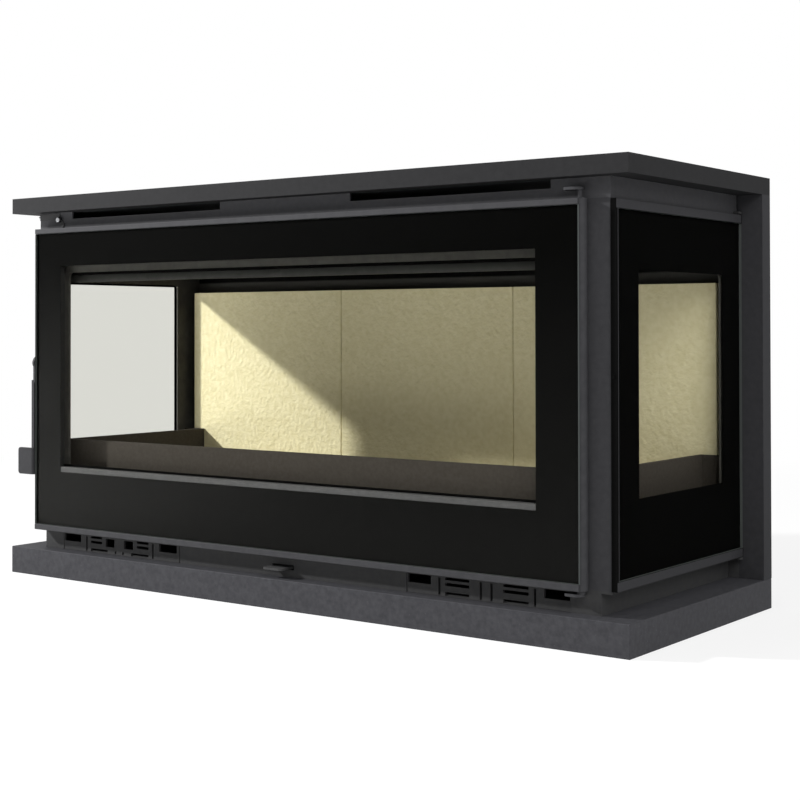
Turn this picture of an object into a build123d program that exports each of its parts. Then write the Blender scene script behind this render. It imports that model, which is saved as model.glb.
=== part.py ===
from build123d import *
import os

# Wood-burning fireplace insert with glass on three sides.
# Millimetres. X runs across the front, Y runs from the front to the back, Z up.
# While the pieces are modelled, Y is zero on the front faces of the surround. keep() then moves
# each of them so that the origin is the middle of the footprint, under the slab.

# Clearances and shared stock
fit_gap = 0.3
slide_gap = 0.5
overrun = 5.0
sheet = 3.0
plate = 4.0
pin_fit = 0.05

# Surround: slab, top trim and the two rear uprights
surround_width = 1160.0
surround_depth = 433.0
surround_height = 624.5
slab_height = 43.5
slab_edge = 1.2
trim_height = 25.0
trim_sheet = 2.0
upright_depth = 27.5

# Casing inside the surround
side_reveal = 39.0
front_plane = 27.0
header_height = 27.0
header_step = 0.5
base_inset = 16.0
base_height = 31.5
post_face = 41.0
post_depth = 43.0
jacket_gap = 91.0

# Front door
door_thickness = 20.0
door_gap = 2.5
door_left_inset = 13.0
hinge_inset = 39.0
stile_radius = 9.0
glass_over_hinge = 3.5
pane = 4.0
pane_set_back = 0.5
enamel = 0.3
glass_tape = 1.7
door_bottom_strip = 9.0
door_top_strip = 8.0
door_border_left = 58.4
door_border_right = 65.5
door_border_bottom = 93.6
door_border_top = 54.3
door_pin_radius = 3.0
door_pin_depth = 22.0

# Side leaves
leaf_thickness = 8.0
leaf_lead = 2.0
leaf_gap = 1.0
leaf_strip = 12.5
leaf_edge = 4.0
leaf_border_front = 64.0
leaf_border_rear = 57.5
leaf_border_bottom = 98.3
leaf_border_top = 76.0
leaf_rear_gap = 2.5

# Frames round the three glazed openings
front_side_bar = 30.0
front_bottom_bar = 104.0
front_top_bar = 72.5
side_front_bar = 10.0
side_rear_bar = 57.0
side_bottom_bar = 104.0
side_top_bar = 86.5
opening_corner = 8.0

# Firebox
plenum_height = 45.0
floor_thickness = 30.0
board_thickness = 30.0
board_side_gap = 2.0
rest_width = 14.0
roof_drop = 12.0
boards_drop = 88.0
baffle_drop = 50.0
baffle_throat = 123.0
baffle_thickness = 11.0
grate_half = 150.0
grate_depth = 140.0
grate_thickness = 14.0
pan_room = 14.5
pan_margin = 15.0
pan_clearance = 6.0

# Air slide
tab_x = -5.0
tab_width = 36.0
tab_thickness = 3.0
tab_rise = 12.5
air_travel = 30.0
slide_length = 78.0
slide_half = 32.0
valve_wall = 2.0
air_port_radius = 16.0

# Ducts
flue_bore = 200.0
flue_wall = 3.0
flue_room = 7.0
duct_flange = 20.0
spigot_bore = 121.0
spigot_wall = 2.0
spigot_x = 330.0
collar_rise = 42.5
inlet_bore = 77.0
inlet_wall = 1.5
inlet_flange = 12.0
inlet_rise = 8.0
inlet_reach = 40.0

# Places that follow from the sizes above
half_width = surround_width / 2
post_half = half_width - side_reveal
inner_half = post_half - sheet
post_inner = post_half - post_face
post_rear = front_plane + post_depth
base_half = post_half - base_inset
header_half = post_half - header_step
trim_bottom = surround_height - trim_height
header_bottom = trim_bottom - header_height
casing_top = trim_bottom + sheet
deck_top = slab_height + base_height
deck_bottom = deck_top - sheet
tray_floor = slab_height + sheet
upright_front = surround_depth - upright_depth
firebox_wall = upright_front - slide_gap
jacket_front = firebox_wall + plate
casing_rear = jacket_front + jacket_gap
inlet_end = casing_rear + inlet_reach
door_rear = front_plane - door_gap
door_front = door_rear - door_thickness
door_bottom = deck_top
door_top = header_bottom - slide_gap
door_left = door_left_inset - post_half
hinge_x = post_half - hinge_inset
hinge_y = front_plane - slide_gap - stile_radius
glass_right = hinge_x + glass_over_hinge
pane_front = door_front + pane_set_back
pane_back = pane_front + pane
pocket = pane_back + enamel + glass_tape
leaf_inner = post_half + fit_gap
leaf_outer = leaf_inner + leaf_thickness
leaf_axis_x = leaf_inner + leaf_thickness / 2
leaf_front = front_plane - leaf_lead
leaf_rear = upright_front - leaf_rear_gap
leaf_axis_y = leaf_rear - leaf_thickness / 2
leaf_bottom = deck_top + leaf_gap
leaf_top = door_top - leaf_gap
floor_bottom = deck_top + plenum_height
floor_top = floor_bottom + floor_thickness
boards_rear = firebox_wall - slide_gap
boards_front = boards_rear - board_thickness
boards_half = inner_half - rest_width - board_side_gap
roof_underside = door_top - roof_drop
roof_top = roof_underside + plate
boards_top = roof_underside - boards_drop
baffle_low = roof_underside - baffle_drop
baffle_front = front_plane + baffle_throat
slide_neck = front_plane + sheet + slide_gap
slide_front = slide_neck + air_travel
slide_rear = front_plane + sheet + slide_length
air_port_y = (slide_front + slide_rear) / 2
valve_rear = slide_rear + slide_gap + valve_wall
pan_front = valve_rear + pan_room
grate_front = pan_front + pan_margin
grate_rear = grate_front + grate_depth
pan_half = grate_half + pan_margin
pan_rear = grate_rear + pan_margin
tab_bottom = slab_height + tab_rise
flue_outer = flue_bore / 2 + flue_wall
flue_y = firebox_wall - flue_room - duct_flange - flue_outer
spigot_outer = spigot_bore / 2 + spigot_wall
spigot_y = flue_y
collar_top = casing_top + collar_rise
inlet_outer = inlet_bore / 2 + inlet_wall
inlet_z = deck_top + inlet_rise + inlet_flange + inlet_outer
os.makedirs("parts", exist_ok=True)


def keep(name, *solids):
    """Centre the footprint on the origin and write one piece, or a group of like pieces."""
    centred = [Pos(0, -inlet_end / 2, 0) * solid for solid in solids]
    shape = centred[0] if len(centred) == 1 else Compound(children=centred)
    shape.label = name
    export_step(shape, f"parts/{name}.step")


def block(x0, x1, y0, y1, z0, z1, through=""):
    """Box between two corners. Along the axes named in through, a cut runs past both ends."""
    low = [min(x0, x1), min(y0, y1), min(z0, z1)]
    high = [max(x0, x1), max(y0, y1), max(z0, z1)]
    for index, axis in enumerate("xyz"):
        if axis in through:
            low[index] -= overrun
            high[index] += overrun
    middle = [(start + end) / 2 for start, end in zip(low, high)]
    return Pos(*middle) * Box(*[end - start for start, end in zip(low, high)])


def rod(radius, start, end):
    """Round bar from one point to another."""
    line = Vector(end) - Vector(start)
    along = Plane(origin=start, z_dir=line.normalized())
    return along * Cylinder(radius, line.length, align=(Align.CENTER, Align.CENTER, Align.MIN))


def bore(radius, start, end):
    """Round cut that runs past both points."""
    past = (Vector(end) - Vector(start)).normalized() * overrun
    return rod(radius, Vector(start) - past, Vector(end) + past)


def upright_rod(radius, x, y, z0, z1):
    return rod(radius, (x, y, z0), (x, y, z1))


def upright_bore(radius, x, y, z0, z1):
    return bore(radius, (x, y, z0), (x, y, z1))


def tube(outer, inner, x, y, z0, z1):
    """Upright pipe or flat washer between two radii."""
    return upright_rod(outer, x, y, z0, z1) - upright_bore(inner, x, y, z0, z1)


def grown(edges, by):
    """The four edges of a ring, moved outwards by one distance."""
    return (edges[0] - by, edges[1] + by, edges[2] - by, edges[3] + by)


def front_ring(outer, inner, y0, y1, corner=opening_corner):
    """Upright ring that faces the front. Its edges are (x0, x1, z0, z1)."""
    hole = block(inner[0], inner[1], y0, y1, inner[2], inner[3], "y")
    hole = fillet(hole.edges().filter_by(Axis.Y), corner)
    return block(outer[0], outer[1], y0, y1, outer[2], outer[3]) - hole


def side_ring(outer, inner, x0, x1, corner=opening_corner):
    """Upright ring that faces a side. Its edges are (y0, y1, z0, z1)."""
    hole = block(x0, x1, *inner, "x")
    hole = fillet(hole.edges().filter_by(Axis.X), corner)
    return block(x0, x1, *outer) - hole


def front_edges(shape, axis):
    """The edges along one axis that lie foremost."""
    return shape.edges().filter_by(axis).group_by(Axis.Y)[0]


def mirrored(shape):
    return mirror(shape, Plane.YZ)


def both_sides(name, shape):
    """Write a right hand piece and its left hand twin."""
    keep(f"{name}_right", shape)
    keep(f"{name}_left", mirrored(shape))


def surround():
    """Slab, folded top trim and rear uprights that frame the insert."""
    slab = block(-half_width, half_width, 0, surround_depth, 0, slab_height)
    keep("hearth_slab", fillet(slab.edges(), slab_edge))

    skin = trim_sheet
    inside = post_half + slide_gap
    band = block(-half_width, half_width, 0, surround_depth, trim_bottom, surround_height)
    band -= block(-inside, inside, front_plane, surround_depth + overrun, trim_bottom, surround_height, "z")
    hollow = block(-half_width + skin, half_width - skin, skin, surround_depth - skin,
                   trim_bottom + skin, surround_height - skin)
    hollow -= block(-inside, inside, front_plane - skin, front_plane, trim_bottom, surround_height)
    keep("top_trim", band - hollow)

    upright = block(inside, half_width, upright_front, surround_depth, slab_height, trim_bottom)
    upright -= block(inside - overrun, half_width - skin, upright_front + skin, surround_depth + overrun,
                     slab_height, trim_bottom, "z")
    both_sides("rear_upright", upright)


# Levelling feet behind the slab
foot_inset = 125.0
foot_x = base_half - foot_inset
foot_y = (surround_depth + casing_rear) / 2
foot_screw_radius = 5.0
foot_screw_rise = 14.0
foot_pad_radius = 20.0
foot_pad_height = 6.0
foot_nut_radius = 9.5
foot_nut_height = 8.0


def levelling_feet():
    """Two screwed feet that carry the casing behind the slab."""
    pad = upright_rod(foot_pad_radius, foot_x, foot_y, 0, foot_pad_height)
    pad = chamfer(pad.edges().group_by(Axis.Z)[-1], foot_pad_height / 3)
    screw = upright_rod(foot_screw_radius, foot_x, foot_y, foot_pad_height / 2, slab_height + foot_screw_rise)
    nut_plane = Plane(origin=(foot_x, foot_y, slab_height - foot_nut_height))
    nut = extrude(nut_plane * RegularPolygon(foot_nut_radius, 6), foot_nut_height)
    foot = pad + screw + nut
    keep("levelling_feet", foot, mirrored(foot))


# Front of the base: sunk centre panel and the two grille inserts
panel_margin = 3.0
panel_sink = 1.0
tab_side_margin = 3.0
tab_slot_margin = 2.0
grille_place = 351.0
grille_half = 130.5
grille_top_margin = 2.0
grille_top = deck_bottom - grille_top_margin
grille_sink = 0.8
grille_flange = 4.0
flange_sheet = 1.6
grille_edge = 1.2

# Cuts of an insert: how far from its middle they start and end, and how high they are
window_start, window_end, window_height = 90.0, 128.5, 12.0
slot_width, inner_slot, outer_slot = 3.6, 6.7, 74.1
louvre_start, louvre_end = 27.0, 66.3
low_louvre, middle_louvre, top_louvre = 5.0, 4.2, 3.6
middle_louvre_rise = 13.2
port_start, port_end = 11.0, 31.4
port_rise, port_height, port_gap = 10.2, 13.0, 8.6
short_slot = 4.5


def air_grille(centre, ports):
    """One louvred insert. Where it has ports, its inner slots and upper louvres are shorter."""
    face, back = front_plane + grille_sink, front_plane + sheet
    bottom, top = slab_height + fit_gap, grille_top - fit_gap
    behind = back + flange_sheet
    reach = grille_half + grille_flange
    grille = block(centre - grille_half, centre + grille_half, face, back, bottom, top)
    flange_low = tray_floor + fit_gap
    grille += block(centre - reach, centre + reach, back, behind, flange_low, deck_bottom)
    grille -= block(centre - reach, centre + reach, back - fit_gap, back, slab_height, flange_low)
    low, high = bottom + grille_edge, top - grille_edge
    upper_start = port_end + port_gap if ports else louvre_start
    middle = low + middle_louvre_rise
    cuts = [(window_start, window_end, top - window_height, top),
            (outer_slot, outer_slot + slot_width, low, high),
            (inner_slot, inner_slot + slot_width, low, low + short_slot if ports else high),
            (louvre_start, louvre_end, low, low + low_louvre), (upper_start, louvre_end, top - top_louvre, top),
            (upper_start, louvre_end, middle, middle + middle_louvre)]
    if ports:
        cuts.append((port_start, port_end, low + port_rise, low + port_rise + port_height))
    for start, end, z0, z1 in cuts:
        for side in (-1, 1):
            grille -= block(centre + side * start, centre + side * end, face, behind, z0, z1, "y")
    return grille


def base():
    """Box under the firebox that takes in room air, with its grilles and deck."""
    back = front_plane + sheet
    tray = block(-base_half, base_half, back, casing_rear, slab_height, deck_bottom)
    tray -= block(-base_half + sheet, base_half - sheet, back - overrun, casing_rear - sheet,
                  tray_floor, deck_bottom + overrun)
    for x in (-foot_x, foot_x):
        tray -= upright_bore(foot_screw_radius + slide_gap, x, foot_y, slab_height, tray_floor)
    keep("base_tray", tray)

    hole_half = grille_half + fit_gap
    panel_half = grille_place - hole_half - panel_margin
    slot_half = tab_width / 2 + tab_side_margin
    front = block(-base_half, base_half, front_plane, back, slab_height, deck_bottom)
    front -= block(-panel_half, panel_half, front_plane - overrun, front_plane + panel_sink,
                   slab_height, deck_bottom, "z")
    front -= block(tab_x - slot_half, tab_x + slot_half, front_plane, back,
                   tab_bottom - tab_slot_margin, tab_bottom + tab_thickness + tab_slot_margin, "y")
    for centre in (-grille_place, grille_place):
        front -= block(centre - hole_half, centre + hole_half, front_plane - overrun, back + overrun,
                       slab_height - overrun, grille_top)
    keep("base_front", front)
    keep("air_grilles", air_grille(-grille_place, True), air_grille(grille_place, False))

    deck = block(-post_half, post_half, front_plane, casing_rear, deck_bottom, deck_top)
    well_half = pan_half + pan_clearance
    deck -= block(-well_half, well_half, pan_front - pan_clearance, pan_rear + pan_clearance,
                  deck_bottom, deck_top, "z")
    deck -= upright_bore(air_port_radius, tab_x, air_port_y - air_travel, deck_bottom, deck_top)
    keep("base_deck", deck)


# Where the slide's tab ends, and the rails that carry the slide
tab_set_back = 1.0
rail_width = 4.0


def air_control():
    """Push-pull slide for the combustion air, in a box under the deck."""
    half = tab_width / 2
    top = tab_bottom + tab_thickness
    tab = block(tab_x - half, tab_x + half, tab_set_back, slide_neck, tab_bottom, top)
    slider = fillet(front_edges(tab, Axis.Z), half / 3)
    slider += block(tab_x - half, tab_x + half, slide_neck, slide_front, tab_bottom, top)
    slider += block(tab_x - slide_half, tab_x + slide_half, slide_front, slide_rear, tab_bottom, top)
    slider -= upright_bore(air_port_radius, tab_x, air_port_y, tab_bottom, top)
    keep("air_slider", slider)

    inside = slide_half + slide_gap
    outside = inside + valve_wall
    front = front_plane + sheet
    back = valve_rear - valve_wall
    box = block(tab_x - outside, tab_x + outside, front, valve_rear, tray_floor, deck_bottom)
    box -= block(tab_x - inside, tab_x + inside, front - overrun, back, tray_floor, deck_bottom, "z")
    for side in (-1, 1):
        box += block(tab_x + side * (inside - rail_width), tab_x + side * inside, slide_neck + slide_gap,
                     back, tray_floor, tab_bottom - fit_gap)
    keep("air_valve_box", box)


# Warm air slots in the header, a little left of its middle
air_slot_centre = -4.5
air_slot_start = 126.0
air_slot_length = 331.4
air_slot_height = 11.5


def corner_posts_and_header():
    """Posts at the front corners and the header with its warm air slots."""
    post = block(post_inner, post_half, front_plane, post_rear, deck_top, header_bottom)
    post -= block(post_inner - overrun, inner_half, front_plane + sheet, post_rear + overrun,
                  deck_top, header_bottom, "z")
    both_sides("corner_post", fillet(front_edges(post, Axis.Z).sort_by(Axis.X)[-1], sheet / 2))

    header = block(-header_half, header_half, front_plane, firebox_wall, header_bottom, trim_bottom)
    header -= block(-header_half + sheet, header_half - sheet, front_plane + sheet, firebox_wall + overrun,
                    header_bottom, trim_bottom, "z")
    for side in (-1, 1):
        start = air_slot_centre + side * air_slot_start
        header -= block(start, start + side * air_slot_length, front_plane, front_plane + sheet,
                        trim_bottom - air_slot_height, trim_bottom + overrun, "y")
    keep("header", header)


def firebox_frames():
    """Steel frames round the three glazed openings, which the doors seal against."""
    opening = (front_side_bar - post_inner, post_inner - front_side_bar,
               deck_top + front_bottom_bar, door_top - front_top_bar)
    keep("front_frame", front_ring((-post_inner, post_inner, deck_top, door_top), opening,
                                   front_plane, front_plane + plate))

    opening = (post_rear + side_front_bar, firebox_wall - side_rear_bar,
               deck_top + side_bottom_bar, header_bottom - side_top_bar)
    both_sides("side_frame", side_ring((post_rear, firebox_wall, deck_top, header_bottom), opening,
                                       inner_half, post_half))


def casing():
    """Firebox back, roof, outer jacket and casing top."""
    keep("firebox_back", block(-post_half, post_half, firebox_wall, jacket_front, deck_top, trim_bottom))

    roof = block(-inner_half, inner_half, front_plane + plate, firebox_wall, roof_underside, roof_top)
    keep("firebox_roof", roof - upright_bore(flue_outer, 0, flue_y, roof_underside, roof_top))

    wrap = block(-post_half, post_half, jacket_front, casing_rear, deck_top, trim_bottom)
    wrap -= block(-inner_half, inner_half, jacket_front - overrun, casing_rear - sheet,
                  deck_top, trim_bottom, "z")
    inlet = bore(inlet_outer, (0, casing_rear - sheet, inlet_z), (0, casing_rear, inlet_z))
    keep("casing_wrap", wrap - inlet)

    lid = block(-post_half, post_half, front_plane, casing_rear, trim_bottom, casing_top)
    lid -= upright_bore(flue_outer + slide_gap, 0, flue_y, trim_bottom, casing_top)
    for x in (-spigot_x, spigot_x):
        lid -= upright_bore(spigot_bore / 2, x, spigot_y, trim_bottom, casing_top)
    keep("casing_lid", lid)


def ducts():
    """Flue collar, warm air spigots and combustion air inlet."""
    collar = tube(flue_outer, flue_bore / 2, 0, flue_y, roof_underside, collar_top)
    collar += tube(flue_outer + duct_flange, flue_outer, 0, flue_y, roof_top, roof_top + flue_wall)
    keep("flue_collar", collar)

    spigot = tube(spigot_outer, spigot_bore / 2, spigot_x, spigot_y, casing_top, collar_top - spigot_wall)
    spigot += tube(spigot_outer + duct_flange, spigot_outer, spigot_x, spigot_y,
                   casing_top, casing_top + spigot_wall)
    keep("warm_air_spigots", spigot, mirrored(spigot))

    start, seat, end = [(0, y, inlet_z) for y in (casing_rear - sheet, casing_rear, inlet_end)]
    pipe = rod(inlet_outer, start, end)
    pipe += rod(inlet_outer + inlet_flange, seat, (0, casing_rear + inlet_wall, inlet_z))
    keep("air_inlet_spigot", pipe - bore(inlet_bore / 2, start, end))


# Joints and chamfers of the linings
board_joint = 0.8
board_chamfer = 1.0
grate_ledge = 10.0


def linings():
    """Cream boards on the back wall, floor boards round the grate, and the baffle."""
    names = ("left", "centre", "right")
    width = 2 * boards_half / len(names)
    for index, name in enumerate(names):
        x0 = index * width - boards_half
        x1 = x0 + width
        if index > 0:
            x0 += board_joint
        board = block(x0, x1, boards_front, boards_rear, floor_top, boards_top)
        keep(f"back_board_{name}", chamfer(front_edges(board, Axis.Z), board_chamfer))

    floor = block(-inner_half, inner_half, front_plane + plate, firebox_wall, floor_bottom, floor_top)
    floor -= block(grate_ledge - grate_half, grate_half - grate_ledge, grate_front + grate_ledge,
                   grate_rear - grate_ledge, floor_bottom, floor_top, "z")
    floor -= block(-grate_half - fit_gap, grate_half + fit_gap, grate_front - fit_gap, grate_rear + fit_gap,
                   floor_top - grate_thickness, floor_top + overrun)
    keep("firebox_floor", floor)

    half = inner_half - board_side_gap
    baffle = block(-half, half, baffle_front, firebox_wall, baffle_low, baffle_low + baffle_thickness)
    keep("baffle_board", chamfer(front_edges(baffle, Axis.X), board_chamfer))
    rest_low = baffle_low - plate
    rest = block(inner_half - rest_width, inner_half, baffle_front, firebox_wall, rest_low, baffle_low)
    keep("baffle_rests", rest, mirrored(rest))


# Bars of the grate, and the wall of the ash pan
grate_bar = 9.0
grate_rim = 12.0
pan_wall = 2.0


def grate_and_ash_pan():
    """Cast grate in the floor and the pan that catches the ash below it."""
    low = floor_top - grate_thickness
    grate = block(-grate_half, grate_half, grate_front, grate_rear, low, floor_top)
    run = 2 * (grate_half - grate_rim) + grate_bar
    count = round(run / (2 * grate_bar))
    pitch = run / count
    for index in range(count):
        x = grate_rim - grate_half + index * pitch
        grate -= block(x, x + pitch - grate_bar, grate_front + grate_rim, grate_rear - grate_rim,
                       low, floor_top, "z")
    keep("fire_grate", grate)

    top = floor_bottom - slide_gap
    pan = block(-pan_half, pan_half, pan_front, pan_rear, tray_floor, top)
    pan -= block(pan_wall - pan_half, pan_half - pan_wall, pan_front + pan_wall, pan_rear - pan_wall,
                 tray_floor + pan_wall, top + overrun)
    keep("ash_pan", pan)


# Fuel retainers and the air deflector
retainer_height = 73.0
retainer_plate = 8.0
retainer_lead = 25.0
retainer_inset = 34.0
deflector_lead = 15.0
deflector_height = 76.0
deflector_hem = 8.0


def retainers_and_air_wash():
    """Plates that keep the fuel off the glass, and the air deflector behind the front pane."""
    top = floor_top + retainer_height
    front = front_plane + retainer_lead
    behind = front + retainer_plate
    rear = boards_front - slide_gap
    outer = inner_half - retainer_inset
    inner = outer - retainer_plate
    keep("fuel_retainer_front", block(-outer, outer, front, behind, floor_top, top))
    side = block(inner, outer, behind, rear, floor_top, top)
    side += block(outer, inner_half - slide_gap, rear - retainer_plate, rear, floor_top, top)
    both_sides("fuel_retainer", side)

    front = front_plane + deflector_lead
    back = front + sheet
    low = roof_underside - deflector_height
    shield = block(-inner_half, inner_half, front, back, low, roof_underside)
    shield += block(-inner_half, inner_half, back, back + deflector_hem, low, low + sheet)
    keep("air_wash_deflector", shield)


# Hinge brackets of the front door
bracket_thickness = 3.5
bracket_left = 20.5
bracket_right = 4.5
bracket_reach = 10.5
bracket_corner = 5.0
bracket_round = 9.5
top_bracket_rise = 11.0
bottom_bracket_drop = 7.5
washer_radius = 6.0


def door_hinges():
    """Two welded brackets with the pins that the door turns on."""
    top_bracket = door_top + top_bracket_rise
    bottom_bracket = deck_top - bottom_bracket_drop
    brackets = []
    for z in (top_bracket, bottom_bracket):
        tab = block(hinge_x - bracket_left, hinge_x + bracket_right, hinge_y - bracket_reach, front_plane,
                    z, z + bracket_thickness)
        tab = fillet(front_edges(tab, Axis.Z).sort_by(Axis.X)[0], bracket_corner)
        tab = fillet(tab.edges().filter_by(Axis.Z).group_by(Axis.X)[-1], bracket_round)
        brackets.append(tab - upright_bore(door_pin_radius, hinge_x, hinge_y, z, z + bracket_thickness))
    keep("door_hinge_brackets", *brackets)

    top_pin = upright_rod(door_pin_radius, hinge_x, hinge_y, door_top - door_pin_depth,
                          top_bracket + bracket_thickness)
    bottom_pin = upright_rod(door_pin_radius, hinge_x, hinge_y, bottom_bracket, door_bottom + door_pin_depth)
    bottom_pin += upright_rod(washer_radius, hinge_x, hinge_y, bottom_bracket + bracket_thickness,
                              door_bottom - fit_gap)
    keep("door_hinge_pins", top_pin, bottom_pin)


# Seals of the front door, and how far its frame stays hidden behind the enamel
frame_hidden_side = 8.0
frame_hidden_edge = 0.6
rope_groove_width = 9.4
rope_groove_depth = 4.0
rope_groove_inset = 24.0
tape_width = 10.0
strip_edge = 1.0


def front_door():
    """Glazed front door: frame, hinge stile, strips, pane, enamel border and seals."""
    stile_left = hinge_x - stile_radius
    window = (door_left + door_border_left, glass_right - door_border_right,
              door_bottom + door_bottom_strip + door_border_bottom,
              door_top - door_top_strip - door_border_top)
    opening = (window[0] - frame_hidden_side, window[1] + frame_hidden_side,
               window[2] - frame_hidden_edge, window[3] + frame_hidden_edge)
    groove_inner = grown(opening, rope_groove_inset)
    groove_outer = grown(groove_inner, rope_groove_width)
    groove_bottom = door_rear - rope_groove_depth
    frame = front_ring((door_left, stile_left, door_bottom, door_top), opening, pocket, door_rear)
    frame -= front_ring(groove_outer, groove_inner, groove_bottom, door_rear + overrun)
    frame -= rod(latch_pin_radius, (door_left - overrun, latch_y, latch_z),
                 (door_left + latch_pin_depth, latch_y, latch_z))
    keep("door_frame", frame)
    keep("door_rope_seal", front_ring(grown(groove_outer, -fit_gap), grown(groove_inner, fit_gap),
                                      groove_bottom, front_plane - fit_gap))

    stile = upright_rod(stile_radius, hinge_x, hinge_y, door_bottom, door_top)
    stile += block(stile_left, hinge_x, hinge_y, hinge_y + stile_radius, door_bottom, door_top)
    stile += block(stile_left, hinge_x, pocket, hinge_y, door_bottom, door_top)
    stile -= block(stile_left - overrun, glass_right, door_front - overrun, pocket,
                   door_bottom, door_top, "z")
    hole = door_pin_radius + pin_fit
    deep = door_pin_depth + slide_gap
    stile -= upright_rod(hole, hinge_x, hinge_y, door_bottom - overrun, door_bottom + deep)
    stile -= upright_rod(hole, hinge_x, hinge_y, door_top - deep, door_top + overrun)
    keep("hinge_stile", stile)

    strips = []
    for z0, z1 in ((door_bottom, door_bottom + door_bottom_strip), (door_top - door_top_strip, door_top)):
        strip = block(door_left, glass_right, door_front, pocket, z0, z1)
        strips.append(fillet(front_edges(strip, Axis.X), strip_edge))
    keep("door_strips", *strips)

    glass = (door_left, glass_right - fit_gap, door_bottom + door_bottom_strip + fit_gap,
             door_top - door_top_strip - fit_gap)
    keep("door_glass", block(glass[0], glass[1], pane_front, pane_back, glass[2], glass[3]))
    keep("door_enamel_border", front_ring(glass, window, pane_back, pane_back + enamel, pane / 4))
    inner = grown(window, tape_width)
    keep("door_glass_tape", front_ring(grown(inner, tape_width), inner, pane_back + enamel, pocket))


# Latch lever on the free edge of the door, and the strike behind it
latch_rise = 275.5
latch_pin_radius = 2.5
latch_pin_depth = 20.0
latch_head_radius = 6.0
latch_head_height = 2.5
lever_length = 185.5
lever_boss = 11.0
lever_neck = 28.8
neck_sheet = 4.4
neck_overlap = 4.0
lever_half = 9.0
lever_sheet = 6.0
lever_offset = 2.4
pull_width = 39.3
pull_height = 44.0
pull_sheet = 3.0
pull_bend = 8.0
pull_corner = 5.0
strike_drop = 115.0
strike_height = 44.0
strike_width = 11.0
strike_thickness = 3.0
strike_gap = 1.0
latch_y = front_plane - strike_thickness - strike_gap - lever_half
latch_z = door_bottom + latch_rise


def latch():
    """Lever that hangs on the free edge of the door, with a bent pull tab."""
    right = door_left - fit_gap
    left = right - neck_sheet
    front, rear = latch_y - lever_half, latch_y + lever_half
    low = latch_z - lever_length
    tab_top = low + pull_height
    neck_low = latch_z - lever_neck
    blade_right = right - lever_offset
    blade_left = blade_right - lever_sheet
    lever = rod(lever_boss, (left, latch_y, latch_z), (right, latch_y, latch_z))
    lever += block(left, right, front, rear, neck_low - neck_overlap, latch_z)
    lever += block(blade_left, blade_right, front, rear, tab_top, neck_low)
    tab = block(blade_right - pull_width, blade_right, front, front + pull_sheet, low, tab_top)
    tab += block(blade_left, blade_right, front, rear, low, tab_top)
    tab = fillet(front_edges(tab, Axis.Z).sort_by(Axis.X)[-1], pull_bend)
    tab = fillet(tab.edges().filter_by(Axis.Y).group_by(Axis.X)[0], pull_corner)
    lever += tab
    hole = bore(latch_pin_radius + pin_fit, (left, latch_y, latch_z), (right, latch_y, latch_z))
    keep("latch_lever", lever - hole)

    head = left - fit_gap
    pin = rod(latch_pin_radius, (head, latch_y, latch_z), (door_left + latch_pin_depth, latch_y, latch_z))
    pin += rod(latch_head_radius, (head - latch_head_height, latch_y, latch_z), (head, latch_y, latch_z))
    keep("latch_pivot_pin", pin)

    top = latch_z - strike_drop + strike_height
    inner = door_left - strike_gap
    strike = block(inner - strike_width, inner, rear + strike_gap, front_plane, top - strike_height, top)
    keep("latch_strike", fillet(front_edges(strike, Axis.Z), strike_gap))


# Spring catch above the free edge of the door
catch_inset = 49.4
catch_rise = 14.9
catch_head_radius = 4.6
catch_head_height = 5.0
catch_stem_radius = 2.5
catch_blade = 1.5
catch_reach = 14.5
catch_width = 7.0
catch_lean = 42.0
catch_bar = 1.0
catch_bar_height = 10.5
catch_bolt_radius = 2.3
catch_bolt_length = 5.5


def top_catch():
    """Screw with an angled spring plate and a flat bar, on the header above the free edge of the door."""
    x, z = catch_inset - post_half, header_bottom + catch_rise
    blade_face = front_plane - catch_blade
    blade = block(-catch_width / 2, catch_width / 2, -catch_blade, 0, -catch_reach, catch_head_radius)
    blade = Pos(x, front_plane, z) * Rot(0, -catch_lean, 0) * blade
    blade -= block(x - catch_reach, x + catch_reach, blade_face, front_plane,
                   header_bottom - catch_reach, header_bottom, "xy")
    blade += block(-header_half, x, front_plane - catch_bar, front_plane, z, z + catch_bar_height)
    blade -= bore(catch_stem_radius, (x, blade_face, z), (x, front_plane, z))
    keep("catch_spring", blade)
    screw = rod(catch_stem_radius, (x, blade_face, z), (x, front_plane, z))
    screw += rod(catch_head_radius, (x, blade_face - catch_head_height, z), (x, blade_face, z))
    bolt_y, bolt_z = front_plane + sheet, z + catch_bar_height / 2
    bolt = rod(catch_bolt_radius, (-header_half - catch_bolt_length, bolt_y, bolt_z),
               (-header_half, bolt_y, bolt_z))
    keep("catch_screw", fillet(screw.edges().group_by(Axis.Y)[0], catch_head_radius / 3), bolt)


# Seals, pivots and lock screws of the side leaves
leaf_hidden_front = 6.0
leaf_hidden_rear = 16.5
leaf_seal_inset = 8.0
leaf_seal_width = 8.0
leaf_seal_share = 0.5625
leaf_pin_radius = 1.5
leaf_pin_depth = 10.0
lock_rise = 270.0
lock_radius = 2.3
lock_head = 1.8
ear_length = 10.0


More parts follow.
